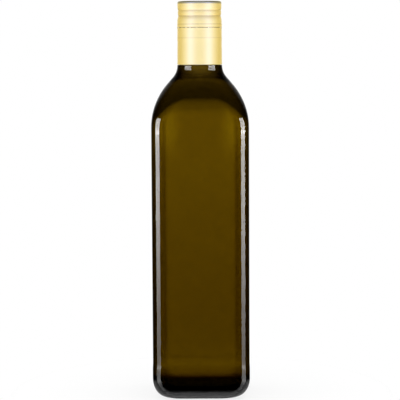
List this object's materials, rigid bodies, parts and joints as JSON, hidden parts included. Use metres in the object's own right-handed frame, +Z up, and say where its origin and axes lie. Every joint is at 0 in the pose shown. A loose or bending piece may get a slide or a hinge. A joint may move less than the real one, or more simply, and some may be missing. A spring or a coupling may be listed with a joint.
{
  "type": "square glass oil bottle",
  "caption": "Square dark olive-green glass bottle full of oil, with rounded shoulders, knurled base ring and a long gold aluminium screw cap.",
  "frame": {"origin": "middle of the base, on the plane that the bottle stands on", "axes": "+Z up along the bottle's axis; the four flat sides face X and Y, the front is the -Y side"},
  "size_m": [0.07, 0.07, 0.2862],
  "materials": {
    "glass": "glossy antique-green bottle glass, clear right through",
    "oil": "clear olive oil, yellow-green, deep brown in thickness",
    "cap_metal": "pale gold lacquer over satin aluminium, fine turned lines"
  },
  "bodies": {
    "root": {"bottle": "glass", "oil": "oil", "cap": "cap_metal"}
  },
  "joints": []
}
